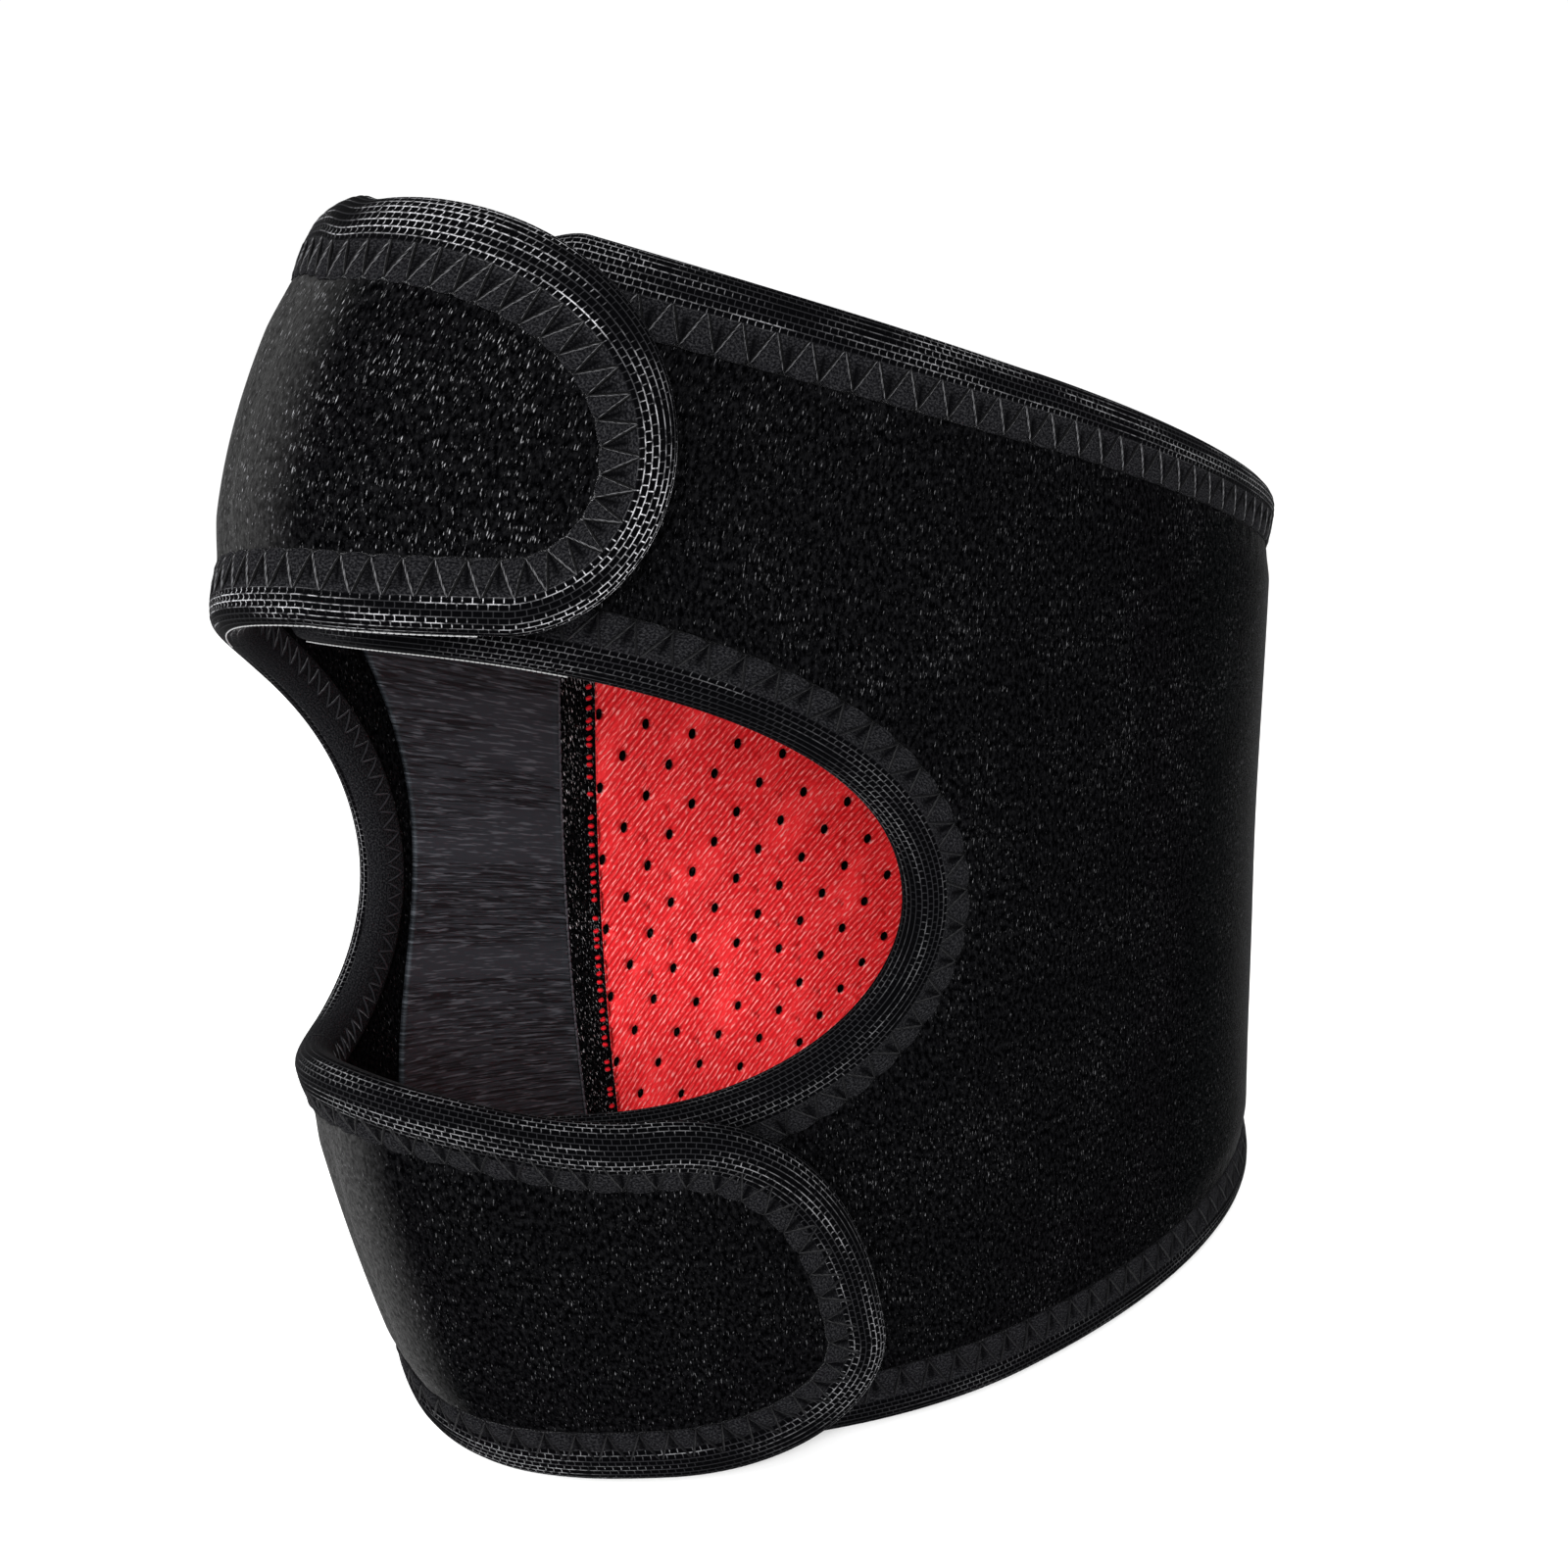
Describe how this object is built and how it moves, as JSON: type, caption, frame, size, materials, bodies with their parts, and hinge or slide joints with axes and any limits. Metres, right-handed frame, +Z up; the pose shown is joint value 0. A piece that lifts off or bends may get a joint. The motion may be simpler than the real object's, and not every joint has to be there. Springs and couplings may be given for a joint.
{
  "type": "patella strap",
  "caption": "Padded wrap-round knee support with an open kneecap window, closing straps over the front, taped edges and a lined inner face.",
  "frame": {"origin": "under the middle of the strap, on its lower rim", "axes": "+Z up the leg, -Y out through the kneecap window, +X toward the side that the closing straps end on"},
  "size_m": [0.0862, 0.1598, 0.15],
  "materials": {
    "loop_cloth": "napped",
    "edge_tape": "woven",
    "hook_cloth": "matt",
    "grip_cloth": "ribbed",
    "lining_cloth": "knitted"
  },
  "bodies": {
    "root": {"main_wrap": "loop_cloth", "upper_tab": "loop_cloth", "lower_tab": "loop_cloth", "seam_strip": "loop_cloth", "hook_patch_upper": "hook_cloth", "hook_patch_lower": "hook_cloth", "grip_panel": "grip_cloth", "red_lining": "lining_cloth", "top_binding": "edge_tape", "bottom_binding": "edge_tape", "near_notch_binding": "edge_tape", "far_notch_binding": "edge_tape", "upper_tab_binding": "edge_tape", "lower_tab_binding": "edge_tape"}
  },
  "joints": []
}
